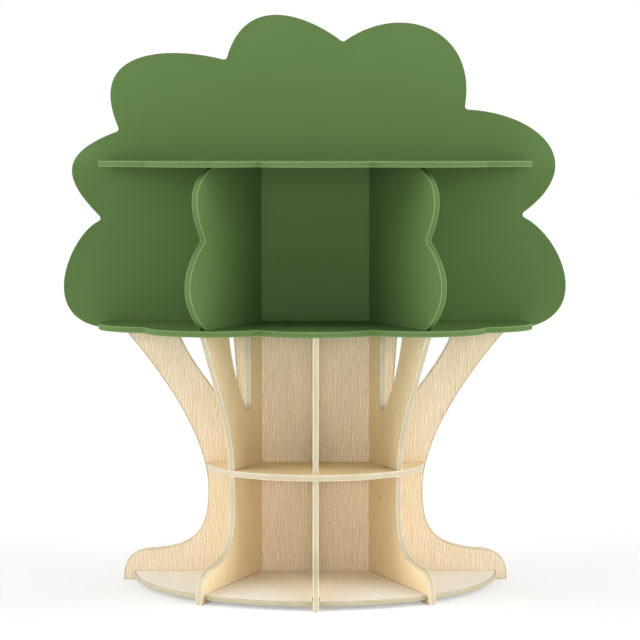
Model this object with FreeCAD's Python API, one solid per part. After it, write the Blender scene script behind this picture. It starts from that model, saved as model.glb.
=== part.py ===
import FreeCAD, Part
import math
import os

Vector = FreeCAD.Vector

# Tree shaped bookshelf: a lobed crown panel with two scalloped shelves stands on a trunk
# made of a back panel and three upright fins that cross a half-round shelf and base.
# Millimetres, +Z up, the front faces -Y. While it is built, Y = 0 is the plane where
# everything butts against the two back panels.

# Boards
board = 12.0                 # panels, fins, dividers and shelves
base_board = 9.0             # thinner board just above the floor
base_lift = 9.0              # air under the base board
edge_band = 2.0              # edging strip on the wood boards
cusp_round = 7.0             # inner radius where two painted lobes meet
lap_clearance = 0.5          # play where two boards cross
overrun = 6.0                # how far a cutting tool passes a face
touch = 0.001                # points closer than this are the same point

# Trunk back panel, half of it seen from the front
trunk_height = 533.0
foot_reach = 404.0
neck_reach = 226.0
branch_reach = 406.0
panel_slot_start = 173.5

# Side fins, measured forward from the back panel along the fin
fin_root = 112.5             # from the middle to a side fin's inner face
fin_splay = 20.0             # degrees, outward from straight ahead
fin_toe_reach = 336.0
fin_neck_reach = 153.0
fin_branch_reach = 313.0
fin_slot_start = 68.0

# Centre fin
centre_toe_reach = 391.0
centre_neck_reach = 217.0
centre_branch_reach = 330.0
centre_slot_start = 91.0

# Slot between the post and the branch of every trunk board
slot_width = 117.0
slot_depth = 166.0
slot_tip_round = 16.0
panel_slot_lean = 52.5       # degrees, where the branch side leaves the rounded tip
fin_slot_lean = 45.0
panel_post_lean = 4.0        # degrees, of the post side from upright
fin_post_lean = 2.0

# Shelves
mid_shelf_level = 236.0      # underside
mid_shelf_radius = 228.0
base_half_width = 380.0
base_reach = 373.0
bay_height = 324.0           # clear between the two painted shelves
shelf_half_width = 449.0
shelf_reach = 336.0
divider_reach = 388.0

# Crown panel
crown_width = 1051.0
crown_height = 653.0

# Loose tenons in the butt joints
tenon_thickness = 5.0
tenon_width = 20.0
tenon_grip = 16.0            # length in a board edge
tenon_sink = 8.0             # length in a board face
tenon_clearance = 0.1        # play all round in a mortise

# Edge of a trunk board from the floor to the neck: shares of toe minus neck, and of height
toe_shares = ((1.0, 0.0), (1.0, 0.075), (0.921, 0.1186), (0.668, 0.1234))
instep_carry_share = 2.22
instep_shares = ((0.0, 0.207), (0.0, 0.358))
# Edge from the neck to the top: shares of branch minus neck, and of height
panel_branch_shares = ((0.0, 0.546), (0.439, 0.7815), (1.0, 1.0))
fin_branch_shares = ((0.0, 0.635), (0.3, 0.672), (1.0, 1.0))
# Branch side of a slot: its upper pole as shares of the slot's width and depth, then its
# lower pole's distance from the tip as a share of the depth
panel_slot_shares = (0.876, 0.725, 0.6)
fin_slot_shares = (0.88, 0.65, 0.45)

# Crown outline from the lower left, clockwise: two poles and the end of each lobe,
# as shares of the crown's width and height
crown_start_share = (0.065, 0.0)
crown_lobe_shares = (
    ((-0.066, 0.046), (0.026, 0.335), (0.077, 0.343)),
    ((0.001, 0.464), (-0.024, 0.553), (0.110, 0.629)),
    ((0.030, 0.915), (0.235, 0.895), (0.3225, 0.854)),
    ((0.357, 1.075), (0.484, 1.002), (0.555, 0.912)),
    ((0.672, 1.050), (0.828, 0.953), (0.797, 0.697)),
    ((0.946, 0.690), (1.058, 0.522), (0.9065, 0.357)),
    ((0.981, 0.318), (1.061, 0.054), (0.931, 0.0)),
)
# Divider front edge from below: the same, as shares of its reach and of the bay's height
divider_start_share = (0.796, 0.0)
divider_lobe_shares = (
    ((1.080, 0.176), (1.070, 0.373), (0.789, 0.549)),
    ((0.928, 0.710), (1.000, 0.898), (0.696, 1.0)),
)
# Painted shelf from its right end to its middle: ends and middles of the arcs in turn,
# as shares of its half width and reach
shelf_lobe_shares = ((0.962, 0.0), (0.929, 0.457), (0.768, 0.589), (0.565, 0.923), (0.252, 0.821), (0.0, 1.0))

# How far the fins are notched over the base and under it, as a share of their toes' reach
base_notch_share = 0.82

# Places of the tenons, as shares of the board they are in
fin_tenon_shares = (0.24, 0.82)
divider_back_share = 0.5
divider_end_share = 0.42
painted_tenon_shares = (-0.2, 0.5)    # from a panel tenon in the post to the one in the branch
mid_tenon_share = 0.26
base_tenon_share = 0.5
panel_tenon_share = 0.6

# Levels that follow from the sizes above
mid_shelf_top = mid_shelf_level + board
base_top = base_lift + base_board
lower_shelf_top = trunk_height + board
upper_shelf_level = lower_shelf_top + bay_height
half = board / 2
panel_post_tenon = panel_slot_start * panel_tenon_share
panel_branch_tenon = (panel_slot_start + slot_width + branch_reach) / 2
splayed_middle = Vector(half, -half * math.tan(math.radians(fin_splay)), 0)

along_x = Vector(1, 0, 0)
along_y = Vector(0, 1, 0)
along_z = Vector(0, 0, 1)
middle = Vector(0, 0, 0)


def fin_point(place):
    return Vector(0, -place.x, place.y)


def panel_point(place):
    return Vector(place.x, 0, place.y)


def left_panel_point(place):
    return Vector(-place.x, 0, place.y)


def spot(reach, height):
    """Place on a board's outline, before the board gets its plane."""
    return Vector(reach, height, 0)


def edge(points):
    """A line through two points, an arc through three, or a curve with four poles."""
    if len(points) == 2:
        return Part.LineSegment(points[0], points[1]).toShape()
    if len(points) == 3:
        return Part.Arc(points[0], points[1], points[2]).toShape()
    curve = Part.BezierCurve()
    curve.setPoles(points)
    return curve.toShape()


def flat(edges):
    return Part.Face(Part.Wire(Part.__sortEdges__(edges)))


def drawn(stretches, point):
    """Closed outline of the given stretches, in the plane that the point function sets."""
    return flat([edge([point(place) for place in stretch]) for stretch in stretches])


def moved(shape, offset):
    copy = shape.copy()
    copy.translate(offset)
    return copy


def turned(shape, axis, angle):
    copy = shape.copy()
    copy.rotate(middle, axis, angle)
    return copy


def mirrored(shape):
    return shape.mirror(middle, along_x)


def in_right_plane(shape):
    """Turns a shape made at the middle into the plane of the right hand fin and divider."""
    return moved(turned(shape, along_z, fin_splay), Vector(fin_root, 0, 0))


def cut(shape, tools):
    return shape.cut(Part.makeCompound(tools))


def rounded_cusps(solid, cusps):
    """Rounds the inner corners that run through a painted board at the given outline points."""
    corners = []
    for side in solid.Edges:
        ends = [vertex.Point for vertex in side.Vertexes]
        through = abs(side.Length - board) < touch
        if through and any((end - cusp).Length < touch for end in ends for cusp in cusps):
            corners.append(side)
    return solid.makeFillet(cusp_round, corners)


def lobed_edge(start_share, lobe_shares, width, height):
    """Lobes in a row, one curve each."""
    start = spot(start_share[0] * width, start_share[1] * height)
    lobes = []
    for lobe in lobe_shares:
        lobes.append([start] + [spot(share[0] * width, share[1] * height) for share in lobe])
        start = lobes[-1][-1]
    return lobes


def shifted_leg(start, end, distance):
    """A straight leg moved sideways, to the left of its own direction."""
    direction = (end - start).normalize()
    aside = Vector(-direction.y, direction.x, 0) * distance
    return start + aside, end + aside


def meeting(leg, other):
    """Where two legs cross when they are drawn out."""
    along = leg[1] - leg[0]
    across = other[1] - other[0]
    turn = along.x * across.y - along.y * across.x
    if abs(turn) < touch:
        return (leg[1] + other[0]) / 2
    gap = other[0] - leg[0]
    return leg[0] + along * ((gap.x * across.y - gap.y * across.x) / turn)


def shifted_curve(poles, distance):
    """A curve beside another one, from the legs between its poles."""
    legs = [shifted_leg(start, end, distance) for start, end in zip(poles, poles[1:])]
    return [legs[0][0], meeting(legs[0], legs[1]), meeting(legs[1], legs[2]), legs[2][1]]


def at_height(leg, height):
    """The point of a drawn-out leg at the given height."""
    along = leg[1] - leg[0]
    return leg[0] + along * ((height - leg[0].y) / along.y)


def trunk_edge(toe, neck, branch, branch_shares, inset):
    """Edge of a trunk board: round toe, hollow instep, neck and spreading branch."""
    def poles_towards(reach, shares):
        return [spot(neck + (reach - neck) * share[0], trunk_height * share[1]) for share in shares]

    toe_poles = poles_towards(toe, toe_shares)
    neck_poles = poles_towards(toe, instep_shares)
    branch_poles = poles_towards(branch, branch_shares)
    carry = toe_poles[3] + (toe_poles[3] - toe_poles[2]) * instep_carry_share
    curves = [toe_poles, [toe_poles[3], carry] + neck_poles, [neck_poles[1]] + branch_poles]
    curves = [shifted_curve(poles, inset) for poles in curves]
    curves[2][3] = at_height(curves[2][2:], trunk_height)
    return curves


def slot_edge(start, branch_lean, post_lean, shares, inset):
    """Slot that is open at the top, from its branch side round the tip and up its post side."""
    tip = trunk_height - slot_depth
    lean = math.radians(branch_lean)
    slope = math.radians(post_lean)
    towards_post = spot(-math.cos(slope), math.sin(slope))
    post_foot_height = tip + slot_tip_round + slot_tip_round * math.sin(slope)
    post_foot_reach = start - (trunk_height - post_foot_height) * math.tan(slope)
    centre = spot(post_foot_reach, post_foot_height) - towards_post * slot_tip_round
    halfway = (lean - slope - math.pi / 2 - math.pi) / 2
    leave = centre + spot(math.sin(lean), -math.cos(lean)) * slot_tip_round
    pull = spot(math.cos(lean), math.sin(lean)) * (slot_depth * shares[2])
    side = shifted_curve([
        spot(start + slot_width, trunk_height),
        spot(start + slot_width * shares[0], tip + slot_depth * shares[1]),
        leave + pull,
        leave,
    ], inset)
    side[0] = at_height(side[:2], trunk_height)
    turn_middle = centre + spot(math.cos(halfway), math.sin(halfway)) * (slot_tip_round + inset)
    post_foot = centre + towards_post * (slot_tip_round + inset)
    post_head = spot(start - inset / math.cos(slope), trunk_height)
    return [side, [side[3], turn_middle, post_foot], [post_foot, post_head]]


def strip(outer, inner):
    """Outline of the edging between an open edge and the board's own edge."""
    return outer + inner + [[outer[0][0], inner[0][0]], [outer[-1][-1], inner[-1][-1]]]


def slab(start_reach, end_reach, low, high):
    """Block in a fin's own plane, as thick as the fin with its play, for the crossing slots."""
    size = Vector(board + 2 * lap_clearance, end_reach - start_reach, high - low)
    return Part.makeBox(size.x, size.y, size.z, Vector(-lap_clearance, -end_reach, low))


def fin(toe, neck, branch, slot_start):
    """One upright fin with its inner face at X = 0, and the strips on its open edges."""
    front = trunk_edge(toe, neck, branch, fin_branch_shares, edge_band)
    slot = slot_edge(slot_start, fin_slot_lean, fin_post_lean, fin_slot_shares, edge_band)
    foot = spot(0, 0)
    head = spot(0, trunk_height)
    outline = front + slot
    outline += [[front[-1][-1], slot[0][0]], [slot[-1][-1], head], [head, foot], [foot, front[0][0]]]
    front_strip = strip(trunk_edge(toe, neck, branch, fin_branch_shares, 0), front)
    slot_strip = strip(slot_edge(slot_start, fin_slot_lean, fin_post_lean, fin_slot_shares, 0), slot)
    solid = drawn(outline, fin_point).extrude(along_x * board)
    front_band = drawn(front_strip, fin_point).extrude(along_x * board)
    slot_band = drawn(slot_strip, fin_point).extrude(along_x * board)
    mid_notch = slab(neck / 2, toe + branch, mid_shelf_level - lap_clearance, mid_shelf_top + lap_clearance)
    notch_low = base_lift - lap_clearance
    base_notch = slab(-board - overrun, toe * base_notch_share, notch_low, base_top + lap_clearance)
    solid = cut(solid, [mid_notch, base_notch])
    return solid, Part.makeCompound(front_band.cut(mid_notch).Solids + [slot_band])


def mid_shelf_slot(neck):
    """Cut in the mid shelf, from its back edge to where a fin's notch starts."""
    return slab(-board - overrun, neck / 2 + lap_clearance, 0, trunk_height)


def base_slot(toe):
    """Cut in the base, from its front edge to where a fin's notch ends."""
    return slab(toe * base_notch_share - lap_clearance, front_reach + overrun, 0, trunk_height)


def for_fins(side_tool, centre_tool):
    """Cutting tools for the two side fins and the centre fin."""
    return both_sides(side_tool) + [moved(centre_tool, along_x * -half)]


def tenon(below, above, play):
    """Upright loose tenon, thin along X, with Z = 0 where its boards meet; with play, its mortise."""
    thickness = tenon_thickness + 2 * play
    width = tenon_width + 2 * play
    length = below + above + 2 * play
    return Part.makeBox(thickness, width, length, Vector(-thickness / 2, -width / 2, -below - play))


def back_tenon(play):
    """Tenon from the back edge of an upright board into a back panel."""
    return turned(tenon(tenon_grip, tenon_sink, play), along_x, -90)


def flat_back_tenon(play):
    """Tenon from the back edge of a shelf into a back panel."""
    return turned(turned(tenon(tenon_grip, tenon_sink, play), along_z, 90), along_x, -90)


def painted_shelf(level):
    """Shelf with a scalloped front edge, its back edge on Y = 0."""
    right = []
    for share in shelf_lobe_shares:
        right.append(Vector(shelf_half_width * share[0], -shelf_reach * share[1], level))
    left = [Vector(-point.x, point.y, point.z) for point in right]
    arcs = [right[0:3], right[2:5], [right[4], right[5], left[4]], left[2:5], left[0:3]]
    solid = flat([edge(arc) for arc in arcs] + [edge([left[0], right[0]])]).extrude(along_z * board)
    return rounded_cusps(solid, [right[2], right[4], left[4], left[2]])


def half_disc(half_width, reach, level, thickness):
    ends = [Vector(-half_width, 0, level), Vector(half_width, 0, level)]
    outline = [edge([ends[0], Vector(0, -reach, level), ends[1]]), edge(ends)]
    return flat(outline).extrude(along_z * thickness)


def half_round(half_width, reach, level, thickness, tools):
    """Half-round board and the strip on its front edge, both with the crossing slots cut out."""
    core = half_disc(half_width - edge_band, reach - edge_band, level, thickness)
    band = half_disc(half_width, reach, level, thickness).cut(core)
    return cut(core, tools), Part.makeCompound(cut(band, tools).Solids)


def trunk_panel():
    """Trunk back panel with both feet, branches and slots, and the strips on its open edges."""
    side = trunk_edge(foot_reach, neck_reach, branch_reach, panel_branch_shares, edge_band)
    slot = slot_edge(panel_slot_start, panel_slot_lean, panel_post_lean, panel_slot_shares, edge_band)
    half_outline = side + slot + [
        [side[-1][-1], slot[0][0]],
        [slot[-1][-1], spot(0, trunk_height)],
        [spot(0, 0), side[0][0]],
    ]
    edges = [edge([point(place) for place in stretch])
             for point in (panel_point, left_panel_point) for stretch in half_outline]
    panel = flat(edges).extrude(along_y * board).removeSplitter()
    side_strip = strip(trunk_edge(foot_reach, neck_reach, branch_reach, panel_branch_shares, 0), side)
    open_slot = slot_edge(panel_slot_start, panel_slot_lean, panel_post_lean, panel_slot_shares, 0)
    slot_strip = strip(open_slot, slot)
    bands = [drawn(stretches, point).extrude(along_y * board)
             for stretches in (side_strip, slot_strip) for point in (panel_point, left_panel_point)]
    return panel, Part.makeCompound(bands)


def crown_panel():
    def crown_point(place):
        return Vector(place.x - crown_width / 2, 0, trunk_height + place.y)

    lobes = lobed_edge(crown_start_share, crown_lobe_shares, crown_width, crown_height)
    solid = drawn(lobes + [[lobes[-1][-1], lobes[0][0]]], crown_point).extrude(along_y * board)
    return rounded_cusps(solid, [crown_point(lobe[-1]) for lobe in lobes[:-1]])


def divider():
    """Upright between the painted shelves, with its inner face at X = 0."""
    def divider_point(place):
        return Vector(0, -place.x, lower_shelf_top + place.y)

    lobes = lobed_edge(divider_start_share, divider_lobe_shares, divider_reach, bay_height)
    foot = spot(0, 0)
    head = spot(0, bay_height)
    outline = lobes + [[lobes[-1][-1], head], [head, foot], [foot, lobes[0][0]]]
    solid = drawn(outline, divider_point).extrude(along_x * board)
    return rounded_cusps(solid, [divider_point(lobe[-1]) for lobe in lobes[:-1]])


def both_sides(shape):
    right = in_right_plane(shape)
    return [right, mirrored(right)]


def either_side(shape, reach, height):
    """Copies of a shape at a distance to the right and to the left of the middle."""
    return [moved(shape, Vector(reach, 0, height)), moved(shape, Vector(-reach, 0, height))]


def panel_tenons(play=0.0):
    """Between the top edge of the trunk panel and the bottom edge of the crown panel."""
    pin = moved(turned(tenon(tenon_grip, tenon_grip, play), along_z, 90), Vector(0, half, trunk_height))
    return either_side(pin, panel_post_tenon, 0) + either_side(pin, panel_branch_tenon, 0)


def fin_back_tenons(play=0.0):
    """From the fins into the trunk panel."""
    placed = []
    for share in fin_tenon_shares:
        pin = moved(back_tenon(play), along_z * trunk_height * share)
        placed += [pin] + both_sides(moved(pin, splayed_middle))
    return placed


def fin_top_tenons(play=0.0):
    """From the post and the branch of each fin into the lower painted shelf."""
    pin = moved(tenon(tenon_grip, tenon_sink, play), along_z * trunk_height)
    placed = []
    for reach in (centre_slot_start / 2, (centre_slot_start + slot_width + centre_branch_reach) / 2):
        placed.append(moved(pin, Vector(0, -reach, 0)))
    for reach in (fin_slot_start / 2, (fin_slot_start + slot_width + fin_branch_reach) / 2):
        placed += both_sides(moved(pin, Vector(half, -reach, 0)))
    return placed


def divider_tenons(play=0.0):
    """From the dividers into the crown panel and both painted shelves."""
    end = Vector(half, -divider_reach * divider_end_share, 0)
    back_height = lower_shelf_top + bay_height * divider_back_share
    back_pin = moved(back_tenon(play), splayed_middle + along_z * back_height)
    foot_pin = moved(tenon(tenon_sink, tenon_grip, play), end + along_z * lower_shelf_top)
    head_pin = moved(tenon(tenon_grip, tenon_sink, play), end + along_z * upper_shelf_level)
    return both_sides(back_pin) + both_sides(foot_pin) + both_sides(head_pin)


def shelf_tenons(play=0.0):
    """From the back edges of all four shelves into the back panels."""
    pin = flat_back_tenon(play)
    placed = either_side(pin, base_half_width * base_tenon_share, base_lift + base_board / 2)
    placed += either_side(pin, mid_shelf_radius * mid_tenon_share, mid_shelf_level + half)
    for share in painted_tenon_shares:
        reach = panel_post_tenon + (panel_branch_tenon - panel_post_tenon) * share
        placed += either_side(pin, reach, trunk_height + half)
        placed += either_side(pin, reach, upper_shelf_level + half)
    return placed


panel_mortises = panel_tenons(tenon_clearance)
fin_back_mortises = fin_back_tenons(tenon_clearance)
fin_top_mortises = fin_top_tenons(tenon_clearance)
divider_mortises = divider_tenons(tenon_clearance)
shelf_mortises = shelf_tenons(tenon_clearance)

# What lies behind the plane where the boards butt, to mitre the splayed ones
divider_front = divider_reach * math.cos(math.radians(fin_splay))
front_reach = max(centre_toe_reach, base_reach, shelf_reach, divider_front)
behind = Part.makeBox(crown_width, board, trunk_height + crown_height, Vector(-crown_width / 2, 0, 0))

# Trunk
side_fin, side_fin_band = fin(fin_toe_reach, fin_neck_reach, fin_branch_reach, fin_slot_start)
right_fin = cut(in_right_plane(side_fin), [behind] + fin_back_mortises + fin_top_mortises)
right_fin_band = in_right_plane(side_fin_band)
centre_fin, centre_fin_band = fin(centre_toe_reach, centre_neck_reach, centre_branch_reach, centre_slot_start)
centre_fin = cut(moved(centre_fin, along_x * -half), fin_back_mortises + fin_top_mortises)
centre_fin_band = moved(centre_fin_band, along_x * -half)
trunk_back, trunk_back_band = trunk_panel()
trunk_back = cut(trunk_back, fin_back_mortises + shelf_mortises + panel_mortises)

# The mid shelf is slotted from the back and the base from the front, each to meet its notch
mid_tools = for_fins(mid_shelf_slot(fin_neck_reach), mid_shelf_slot(centre_neck_reach)) + shelf_mortises
mid_shelf, mid_shelf_band = half_round(mid_shelf_radius, mid_shelf_radius, mid_shelf_level, board, mid_tools)
base_tools = for_fins(base_slot(fin_toe_reach), base_slot(centre_toe_reach)) + shelf_mortises
base, base_band = half_round(base_half_width, base_reach, base_lift, base_board, base_tools)

# Crown
crown_back = cut(crown_panel(), shelf_mortises + divider_mortises + panel_mortises)
lower_shelf = cut(painted_shelf(trunk_height), shelf_mortises + divider_mortises + fin_top_mortises)
upper_shelf = cut(painted_shelf(upper_shelf_level), shelf_mortises + divider_mortises)
right_divider = cut(in_right_plane(divider()), [behind] + divider_mortises)

nodes = {
    "crown_back": crown_back,
    "upper_shelf": upper_shelf,
    "lower_shelf": lower_shelf,
    "left_divider": mirrored(right_divider),
    "right_divider": right_divider,
    "trunk_back": trunk_back,
    "trunk_back_edge_band": trunk_back_band,
    "left_fin": mirrored(right_fin),
    "left_fin_edge_band": mirrored(right_fin_band),
    "centre_fin": centre_fin,
    "centre_fin_edge_band": centre_fin_band,
    "right_fin": right_fin,
    "right_fin_edge_band": right_fin_band,
    "mid_shelf": mid_shelf,
    "mid_shelf_edge_band": mid_shelf_band,
    "base_board": base,
    "base_edge_band": base_band,
    "panel_tenons": Part.makeCompound(panel_tenons()),
    "fin_back_tenons": Part.makeCompound(fin_back_tenons()),
    "fin_top_tenons": Part.makeCompound(fin_top_tenons()),
    "divider_tenons": Part.makeCompound(divider_tenons()),
    "shelf_tenons": Part.makeCompound(shelf_tenons()),
}

# The origin is the bottom centre of the whole bookshelf
seat = Vector(0, (front_reach - board) / 2, 0)
os.makedirs("parts", exist_ok=True)
for name, shape in nodes.items():
    moved(shape, seat).exportStep("parts/" + name + ".step")
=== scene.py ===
import math

import bpy
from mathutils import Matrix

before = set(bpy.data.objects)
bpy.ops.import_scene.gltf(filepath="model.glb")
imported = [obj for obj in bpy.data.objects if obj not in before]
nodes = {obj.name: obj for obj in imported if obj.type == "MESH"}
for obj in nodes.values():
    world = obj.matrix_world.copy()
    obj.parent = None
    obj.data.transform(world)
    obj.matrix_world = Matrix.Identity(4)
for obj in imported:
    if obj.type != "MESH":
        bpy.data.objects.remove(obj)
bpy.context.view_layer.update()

# Metres, in the frame of the solids: +Z up, the front faces -Y.

# Rounded rims
PAINT_RIM = 0.0015           # painted boards; two rims fit the wall beside a mortise
PAINT_STEPS = 3
STRIP_RIM = 0.0012           # open arrises of the edging strips
STRIP_STEPS = 2
STRIP_OPEN = 0.0015          # an arris further than this from its board is an open one
JOINT_SHARE = 0.3            # rim at the joint with the board, as a share of the open one
SEAM_RIM = 0.0008            # wood boards; it shows as a thin glue line
SEAM_STEPS = 1
RIM_ANGLE = 40               # edges that turn by more are rounded, in degrees
FLAT_ANGLE = 0.5             # faces that turn by less are joined, in degrees
WELD = 1e-5
EVEN_WEIGHT = 100            # large faces count most in the shading

# Colours, as the picture's own values out of 255
GREEN = (91, 118, 68)
GREEN_LOW = (89, 116, 66)
# Lighter greens on the rims of the shelves and dividers: a painted highlight
GREEN_HIGHLIGHT = (124, 151, 100)
GREEN_HIGHLIGHT_LOW = (116, 143, 93)
CREAM = (195, 185, 159)
CREAM_LOW = (187, 176, 149)
# A darker cream for the base's strip, low down by the floor: painted shade
BASE_CREAM_SHADE = (180, 171, 143)
BASE_CREAM_SHADE_LOW = (172, 163, 135)
# A paler cream on the strips' rounded arrises: a painted highlight
CREAM_HIGHLIGHT = (236, 229, 209)
CREAM_HIGHLIGHT_LOW = (229, 220, 198)
SEAM_BROWN = (136, 104, 68)
SEAM_TAN = (176, 146, 104)
# A darker brown than the glue line on the base board's rims: painted shade in the gaps where the
# fins cross the base
SLOT_SHADE_BROWN = (74, 52, 30)
SLOT_SHADE_TAN = (110, 84, 54)
BEECH = (205, 172, 128)
BEECH_LOW = (186, 150, 106)
KNOT = (122, 88, 52)
WHITE = (255, 255, 255)
FLOOR = (252, 252, 252)

# Light, body and dark streaks of the oak on each kind of board. The boards are one oak: the shelf's
# and the base's tones are raised as painted light on their tops, and the fins' yellower tones are
# painted shade on their inner faces
PANEL_OAK = ((241, 229, 208), (239, 224, 198), (207, 186, 154))
FIN_OAK_PAINTED_SHADE = ((244, 230, 195), (241, 224, 187), (215, 190, 146))
SHELF_OAK_PAINTED_LIGHT = ((251, 234, 197), (249, 229, 189), (228, 200, 154))
BASE_OAK_PAINTED_LIGHT = ((250, 245, 237), (248, 242, 232), (224, 210, 191))

# Plain finishes: roughness, specular level, mottles per metre and their detail
PAINT_FINISH = (0.55, 0.03, 9, 4)
EDGING_FINISH = (0.45, 0.2, 30, 3)
BEECH_FINISH = (0.6, 0.25, 120, 3)
SEAM_FINISH = (0.8, 0.1, 60, 3)
FLOOR_FINISH = (0.9, 0.0, 3, 3)
TONE_STOPS = (0.3, 0.7)      # noise levels of the low and of the high tone
PEEL_CELLS = 420             # dimples per metre of the paint's orange peel
PEEL_DETAIL = 2
PEEL_BUMP = (0.05, 0.0004)   # strength and depth

# Oak
OAK_ROUGHNESS = 0.55
OAK_SPECULAR = 0.1

# Noises of the oak: repeats per metre across and along the grain, detail and distortion
OAK_TONES = (9, 1.2, 3, 0.4)
OAK_RINGS = (40, 3, 2, 0.8)
OAK_DASHES = (620, 30, 2, 0.3)
OAK_PORES = (900, 45, 2, 0)

# How much of each noise shows, as stops of noise level and share
RING_STOPS = ((0.44, 0), (0.5, 0.35), (0.56, 0))
DASH_STOPS = ((0.38, 0), (0.62, 0.3))
PORE_STOPS = ((0.32, 0), (0.44, 1))      # 0 in a pore
PORE_DARK = 0.6
PORE_BUMP = (0.08, 0.0003)               # strength and depth

# Spacing and strength of the oak's fine lines
PANEL_LINES = (0.0052, 0.62)
FIN_LINES = (0.0062, 0.5)
SHELF_LINES = (0.011, 0.4)
LINE_STOPS = (0.2, 0.8)      # wave levels at which a line starts and is full
LINE_STRETCH = 0.4           # repeats along the grain for one across it
LINE_WOBBLE = 9.0
LINE_DETAIL = 3.0
WAVE_PERIOD = math.pi / 10   # of a wave texture at scale 1

# Pin knot on the right fin: a dark heart, a pale gap and a dark ring
KNOT_PLACE = (0.1347, 0.1285, 0.18)
KNOT_RADIUS = 0.0042
KNOT_STOPS = ((0, 1), (0.35, 0.25), (0.75, 0.6), (1, 0))

# Camera; angles in degrees, lens and sensor in mm
EYE = (-0.011, -5.186, 0.9115)
DOWN = 2.027
TURN = -0.22
LENS = 144.322
SENSOR = 36
SHIFT_Y = -0.13
FAR_CLIP = 100

# Light; heights, turns and softness in degrees
DOME = 0.16
SIDE = 2.45
SIDE_HEIGHT = 30
SIDE_TURN = 84
SIDE_SOFT = 85
LOW = 1.0
LOW_HEIGHT = 8
LOW_TURN = 70
LOW_SOFT = 35
FRONT = 0.46
FRONT_HEIGHT = 6
FRONT_SOFT = 12
SOFTBOX = 19
SOFTBOX_PLACE = (0, -3.2, 0.6)
SOFTBOX_SIZE = (3.0, 0.6)
FLOOR_SIZE = 60
FLOOR_GLOW = 0.33            # how far the floor is lifted to white where it is seen
SEEN_WHITE = 1.0             # strength at which a white light is seen as white


def linear(colour):
    """The picture's 0 to 255 values as linear light by the sRGB curve, with full alpha."""
    out = []
    for value in colour:
        share = value / 255
        out.append(share / 12.92 if share <= 0.04045 else ((share + 0.055) / 1.055) ** 2.4)
    return (*out, 1.0)


class Nodes:
    """Short ways to add nodes to a node tree."""

    def __init__(self, tree):
        self.tree = tree

    def node(self, kind, inputs=None, **settings):
        made = self.tree.nodes.new(kind)
        for key, value in settings.items():
            setattr(made, key, value)
        for key, value in (inputs or {}).items():
            self.feed(made.inputs[key], value)
        return made

    def feed(self, socket, value):
        if isinstance(value, bpy.types.NodeSocket):
            self.tree.links.new(value, socket)
        else:
            socket.default_value = value

    def math(self, operation, *values):
        return self.node("ShaderNodeMath", dict(enumerate(values)), operation=operation).outputs[0]

    def seen(self):
        """1 where the camera sees this directly, in a mirror or through glass."""
        path = self.node("ShaderNodeLightPath").outputs
        directly = self.math("MAXIMUM", path["Is Camera Ray"], path["Is Glossy Ray"])
        return self.math("MAXIMUM", directly, path["Is Transmission Ray"])

    def either(self, share, first, second):
        """A blend of two shaders."""
        made = self.node("ShaderNodeMixShader", {0: share, 1: first, 2: second})
        return made.outputs[0]


class Material(Nodes):
    """A principled material and its textures."""

    def __init__(self, name, roughness, specular):
        self.data = bpy.data.materials.new(name)
        self.data.use_nodes = True
        super().__init__(self.data.node_tree)
        self.shader = self.tree.nodes["Principled BSDF"]
        self.shader.inputs["Roughness"].default_value = roughness
        self.shader.inputs["Specular IOR Level"].default_value = specular

    def place(self, scale=(1, 1, 1), offset=(0, 0, 0)):
        """Places on the object, stretched by scale."""
        where = self.node("ShaderNodeTexCoord").outputs["Object"]
        made = self.node("ShaderNodeMapping", {"Vector": where, "Scale": scale, "Location": offset})
        return made.outputs["Vector"]

    def noise(self, where, scale, detail, distortion=0):
        inputs = {"Vector": where, "Scale": scale, "Detail": detail, "Distortion": distortion}
        return self.node("ShaderNodeTexNoise", inputs).outputs["Fac"]

    def ramp(self, value, stops):
        """A colour ramp of (position, colour) stops."""
        made = self.node("ShaderNodeValToRGB", {"Fac": value})
        points = made.color_ramp.elements
        while len(points) < len(stops):
            points.new(0.5)
        for point, (position, colour) in zip(points, stops):
            point.position = position
            point.color = colour
        return made.outputs["Color"]

    def share(self, value, stops):
        """A ramp of (position, grey level) stops."""
        return self.ramp(value, [(position, (level, level, level, 1)) for position, level in stops])

    def mix(self, share, first, second):
        """A blend of two colours."""
        made = self.node("ShaderNodeMix", {0: share, 6: first, 7: second}, data_type="RGBA")
        return made.outputs[2]

    def colour(self, value):
        self.feed(self.shader.inputs["Base Color"], value)

    def bump(self, height, strength, distance):
        inputs = {"Height": height, "Strength": strength, "Distance": distance}
        made = self.node("ShaderNodeBump", inputs)
        self.feed(self.shader.inputs["Normal"], made.outputs["Normal"])


def mottled(name, finish, low, high, stops=TONE_STOPS):
    """A plain finish that drifts between two close tones."""
    roughness, specular, mottles, detail = finish
    made = Material(name, roughness, specular)
    tone = made.noise(made.place(), mottles, detail)
    made.colour(made.ramp(tone, list(zip(stops, (linear(low), linear(high))))))
    return made


def paint(name, low, high):
    """Satin paint with a faint orange peel."""
    made = mottled(name, PAINT_FINISH, low, high)
    made.bump(made.noise(made.place(), PEEL_CELLS, PEEL_DETAIL), *PEEL_BUMP)
    return made.data


def edging(name, low, high):
    return mottled(name, EDGING_FINISH, low, high).data


def beech():
    return mottled("beech", BEECH_FINISH, BEECH_LOW, BEECH).data


def seam(name, low, high):
    return mottled(name, SEAM_FINISH, low, high).data


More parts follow.
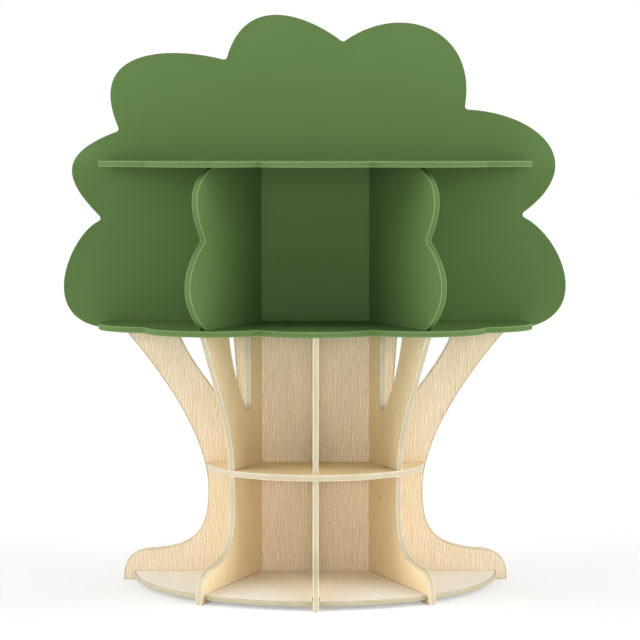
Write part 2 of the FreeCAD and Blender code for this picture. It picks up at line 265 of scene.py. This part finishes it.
def oak(name, tones, grain, across, lines, offset, knot=None):
    """Pale oak: wavy lines, dashes and pores along the grain and faint growth rings.

    The grain runs along one axis, and its lines are spaced along the axis across it.
    """
    light, body, dark = [linear(tone) for tone in tones]
    made = Material(name, OAK_ROUGHNESS, OAK_SPECULAR)

    def stretched(wide, long):
        return made.place([long if axis == grain else wide for axis in "XYZ"], offset)

    def streaks(wide, long, detail, distortion):
        return made.noise(stretched(wide, long), 1, detail, distortion)

    face = made.ramp(streaks(*OAK_TONES), list(zip(TONE_STOPS, (body, light))))
    face = made.mix(made.share(streaks(*OAK_RINGS), RING_STOPS), face, light)
    spacing, strength = lines
    inputs = {
        "Vector": stretched(1, LINE_STRETCH),
        "Scale": WAVE_PERIOD / spacing,
        "Distortion": LINE_WOBBLE,
        "Detail": LINE_DETAIL,
    }
    waves = made.node("ShaderNodeTexWave", inputs, bands_direction=across).outputs["Fac"]
    face = made.mix(made.share(waves, list(zip(LINE_STOPS, (0, strength)))), face, dark)
    face = made.mix(made.share(streaks(*OAK_DASHES), DASH_STOPS), face, dark)
    pores = made.share(streaks(*OAK_PORES), PORE_STOPS)
    face = made.mix(pores, made.mix(PORE_DARK, face, dark), face)
    if knot:
        where = made.node("ShaderNodeTexCoord").outputs["Object"]
        far = made.node("ShaderNodeVectorMath", {0: where, 1: knot}, operation="DISTANCE")
        far = made.math("DIVIDE", far.outputs["Value"], KNOT_RADIUS)
        face = made.mix(made.share(far, KNOT_STOPS), face, linear(KNOT))
    made.colour(face)
    made.bump(pores, *PORE_BUMP)
    return made.data


def arris_weights():
    """Weights for a strip's bevel: 1 on its open arrises, less where it meets its board."""
    group = bpy.data.node_groups.new("arris_weights", "GeometryNodeTree")
    sockets = group.interface
    sockets.new_socket("Geometry", in_out="INPUT", socket_type="NodeSocketGeometry")
    board_input = sockets.new_socket("Board", in_out="INPUT", socket_type="NodeSocketObject")
    sockets.new_socket("Geometry", in_out="OUTPUT", socket_type="NodeSocketGeometry")
    made = Nodes(group)
    given = made.node("NodeGroupInput").outputs
    board = made.node("GeometryNodeObjectInfo", {"Object": given["Board"]}).outputs["Geometry"]
    where = made.node("GeometryNodeInputPosition").outputs[0]
    far = made.node("GeometryNodeProximity", {"Geometry": board, "Sample Position": where})
    is_open = made.math("GREATER_THAN", far.outputs["Distance"], STRIP_OPEN)
    turn = made.node("GeometryNodeInputMeshEdgeAngle").outputs["Unsigned Angle"]
    is_arris = made.math("GREATER_THAN", turn, math.radians(RIM_ANGLE))
    weight = made.math("MULTIPLY_ADD", is_open, 1 - JOINT_SHARE, JOINT_SHARE)
    weight = made.math("MULTIPLY", weight, is_arris)
    inputs = {"Geometry": given["Geometry"], "Name": "bevel_weight_edge", "Value": weight}
    kept = made.node("GeometryNodeStoreNamedAttribute", inputs, data_type="FLOAT", domain="EDGE")
    made.node("NodeGroupOutput", {0: kept.outputs["Geometry"]})
    return group, board_input.identifier


strip_weights, strip_board = arris_weights()


def soften(piece, width, steps, board=None):
    """Rounds the rims of a board, or of the strip on a board, and shades it smoothly."""
    weld = piece.modifiers.new("weld", "WELD")
    weld.merge_threshold = WELD
    if board:
        arrises = piece.modifiers.new("arrises", "NODES")
        arrises.node_group = strip_weights
        arrises[strip_board] = board
    else:
        flat = piece.modifiers.new("flat", "DECIMATE")
        flat.decimate_type = "DISSOLVE"
        flat.angle_limit = math.radians(FLAT_ANGLE)
    rim = piece.modifiers.new("rim", "BEVEL")
    rim.width = width
    rim.segments = steps
    rim.limit_method = "WEIGHT" if board else "ANGLE"
    rim.angle_limit = math.radians(RIM_ANGLE)
    rim.use_clamp_overlap = bool(board)
    rim.loop_slide = False
    if len(piece.data.materials) > 1:
        rim.material = 1
    if not board:
        even = piece.modifiers.new("even", "WEIGHTED_NORMAL")
        even.weight = EVEN_WEIGHT
    for face in piece.data.polygons:
        face.use_smooth = True


def finish_with(names, *materials):
    """Gives each piece its face material and, where there are two, that of its rims."""
    for name in names:
        nodes[name].data.materials.clear()
        for material in materials:
            nodes[name].data.materials.append(material)


# Painted boards; all but the crown get a lighter green on their rims, a painted highlight
painted = ("crown_back", "upper_shelf", "lower_shelf", "left_divider", "right_divider")
green = paint("green_paint", GREEN_LOW, GREEN)
finish_with(painted[:1], green)
finish_with(painted[1:], green, paint("green_arris", GREEN_HIGHLIGHT_LOW, GREEN_HIGHLIGHT))
for name in painted:
    soften(nodes[name], PAINT_RIM, PAINT_STEPS)

# Wood boards, each with its own stretch of grain
# The tones of the shelf and the base are painted light, those of the fins painted shade
wood = {
    "trunk_back": oak("oak_panel", PANEL_OAK, "Z", "X", PANEL_LINES, (0, 0, 0)),
    "left_fin": oak("oak_left_fin", FIN_OAK_PAINTED_SHADE, "Z", "Y", FIN_LINES, (3, 1, 5)),
    "centre_fin": oak("oak_centre_fin", FIN_OAK_PAINTED_SHADE, "Z", "Y", FIN_LINES, (5, 7, 2)),
    "right_fin": oak("oak_right_fin", FIN_OAK_PAINTED_SHADE, "Z", "Y", FIN_LINES, (8, 3, 9), KNOT_PLACE),
    "mid_shelf": oak("oak_shelf", SHELF_OAK_PAINTED_LIGHT, "X", "Y", SHELF_LINES, (2, 4, 6)),
    "base_board": oak("oak_base", BASE_OAK_PAINTED_LIGHT, "X", "Y", SHELF_LINES, (6, 1, 4)),
}
glue_line = seam("glue_line", SEAM_BROWN, SEAM_TAN)
# Painted shade: the base board's rims get a darker brown for the gaps where the fins sit in its
# slots
slot_line = seam("slot_line", SLOT_SHADE_BROWN, SLOT_SHADE_TAN)
for name, face in wood.items():
    finish_with((name,), face, slot_line if name == "base_board" else glue_line)
    soften(nodes[name], SEAM_RIM, SEAM_STEPS)

# Edging strips and the boards that carry them
strips = {
    "trunk_back_edge_band": "trunk_back",
    "left_fin_edge_band": "left_fin",
    "centre_fin_edge_band": "centre_fin",
    "right_fin_edge_band": "right_fin",
    "mid_shelf_edge_band": "mid_shelf",
    "base_edge_band": "base_board",
}
cream = edging("cream_edging", CREAM_LOW, CREAM)
# Painted highlight: the strips' rounded arrises get the paler cream
finish_with(strips, cream, edging("cream_arris", CREAM_HIGHLIGHT_LOW, CREAM_HIGHLIGHT))
# Painted shade: the base's strip is a darker cream, with the plain cream on its arrises
finish_with(("base_edge_band",), edging("base_edging", BASE_CREAM_SHADE_LOW, BASE_CREAM_SHADE), cream)
for name, board in strips.items():
    soften(nodes[name], STRIP_RIM, STRIP_STEPS, nodes[board])

# Hidden tenons
finish_with([name for name in nodes if name.endswith("_tenons")], beech())

# Floor, lifted to white where it is seen, with the object's shadow left on it
bpy.ops.mesh.primitive_plane_add(size=FLOOR_SIZE)
floor = bpy.context.object
floor.name = "floor"
look = mottled("floor", FLOOR_FINISH, FLOOR, WHITE, stops=(0, 1))
glow = look.node("ShaderNodeEmission", {"Color": linear(WHITE), "Strength": SEEN_WHITE})
lifted = look.math("MULTIPLY", look.seen(), FLOOR_GLOW)
surface = look.either(lifted, look.shader.outputs[0], glow.outputs[0])
look.feed(look.tree.nodes["Material Output"].inputs["Surface"], surface)
floor.data.materials.append(look.data)


def add_lamp(data, turn, place=(0, 0, 0)):
    lamp = bpy.data.objects.new(data.name, data)
    lamp.rotation_euler = turn
    lamp.location = place
    bpy.context.scene.collection.objects.link(lamp)
    return lamp


def sun(name, strength, soft, height, azimuth):
    """Soft light from a height and an azimuth in degrees; 0 is from the front."""
    data = bpy.data.lights.new(name, "SUN")
    data.energy = strength
    data.angle = math.radians(soft)
    add_lamp(data, (math.radians(90 - height), 0, math.radians(azimuth)))


sun("left", SIDE, SIDE_SOFT, SIDE_HEIGHT, -SIDE_TURN)
sun("right", SIDE, SIDE_SOFT, SIDE_HEIGHT, SIDE_TURN)
sun("low_left", LOW, LOW_SOFT, LOW_HEIGHT, -LOW_TURN)
sun("low_right", LOW, LOW_SOFT, LOW_HEIGHT, LOW_TURN)
sun("front", FRONT, FRONT_SOFT, FRONT_HEIGHT, 0)
softbox = bpy.data.lights.new("softbox", "AREA")
softbox.shape = "RECTANGLE"
softbox.size, softbox.size_y = SOFTBOX_SIZE
softbox.energy = SOFTBOX
add_lamp(softbox, (math.radians(90), 0, 0), SOFTBOX_PLACE).visible_camera = False

# A dim dome that is white where it is seen
world = bpy.data.worlds.new("studio")
world.use_nodes = True
bpy.context.scene.world = world
sky = Nodes(world.node_tree)
dome = sky.node("ShaderNodeBackground", {"Color": linear(WHITE), "Strength": DOME})
backdrop = sky.node("ShaderNodeBackground", {"Color": linear(WHITE), "Strength": SEEN_WHITE})
surface = sky.either(sky.seen(), dome.outputs[0], backdrop.outputs[0])
sky.feed(sky.tree.nodes["World Output"].inputs["Surface"], surface)

# Camera
view = bpy.data.cameras.new("camera")
view.lens = LENS
view.sensor_width = SENSOR
view.shift_y = SHIFT_Y
view.clip_end = FAR_CLIP
camera = bpy.data.objects.new("camera", view)
camera.location = EYE
camera.rotation_euler = (math.radians(90 - DOWN), 0, math.radians(TURN))
bpy.context.scene.collection.objects.link(camera)
bpy.context.scene.camera = camera
bpy.context.scene.view_settings.view_transform = "Standard"
